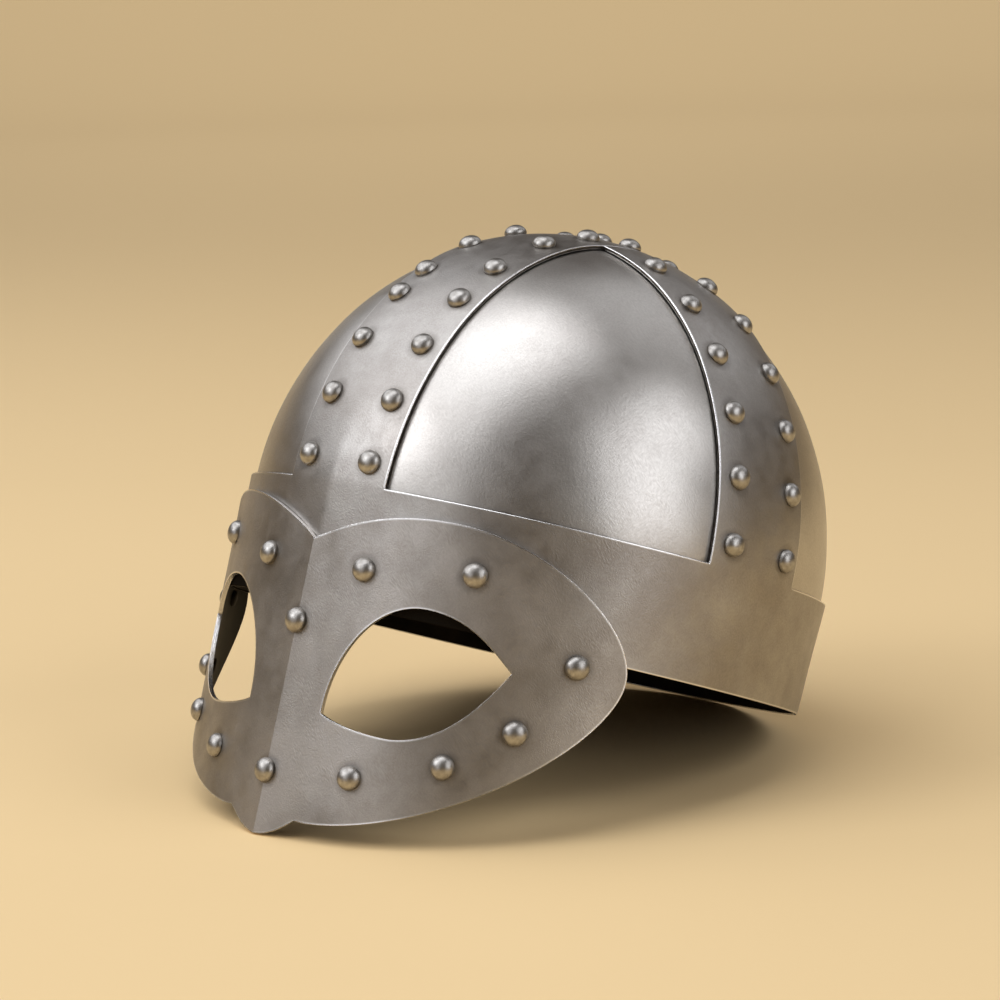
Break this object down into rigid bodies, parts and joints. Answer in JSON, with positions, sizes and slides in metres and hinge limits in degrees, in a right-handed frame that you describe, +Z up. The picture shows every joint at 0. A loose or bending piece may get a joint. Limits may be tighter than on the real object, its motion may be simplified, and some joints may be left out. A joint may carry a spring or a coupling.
{
  "type": "viking spectacle helmet",
  "caption": "Riveted steel spectacle helmet: domed plates under brow, crest and side bands, with a goggle-shaped guard over eyes and nose, resting tipped forward on its nose tip",
  "frame": {"origin": "centre of the bounding box's underside, on the surface that the helmet rests on", "axes": "+Z up, face towards -Y, the wearer's left towards +X, tipped forward about 20.9 degrees as the helmet rests on its nose tip and the back of its rim"},
  "size_m": [0.215, 0.2548, 0.1904],
  "materials": {
    "band_steel": "satin, fine random grain, bright worn edges",
    "plate_steel": "satin, fine random grain",
    "guard_steel": "satin, fine random grain, bright worn edges",
    "rivet_steel": "polished domes"
  },
  "bodies": {
    "root": {"brow_and_crest_band": "band_steel", "side_band_left": "band_steel", "side_band_right": "band_steel", "plate_front_left": "plate_steel", "plate_front_right": "plate_steel", "plate_rear_left": "plate_steel", "plate_rear_right": "plate_steel", "spectacle_guard": "guard_steel", "nose_rivet_1": "rivet_steel", "nose_rivet_2": "rivet_steel", "guard_rivet_left_1": "rivet_steel", "guard_rivet_left_2": "rivet_steel", "guard_rivet_left_3": "rivet_steel", "guard_rivet_left_4": "rivet_steel", "guard_rivet_left_5": "rivet_steel", "guard_rivet_left_6": "rivet_steel", "guard_rivet_right_1": "rivet_steel", "guard_rivet_right_2": "rivet_steel", "guard_rivet_right_3": "rivet_steel", "guard_rivet_right_4": "rivet_steel", "guard_rivet_right_5": "rivet_steel", "guard_rivet_right_6": "rivet_steel"}
  },
  "joints": []
}
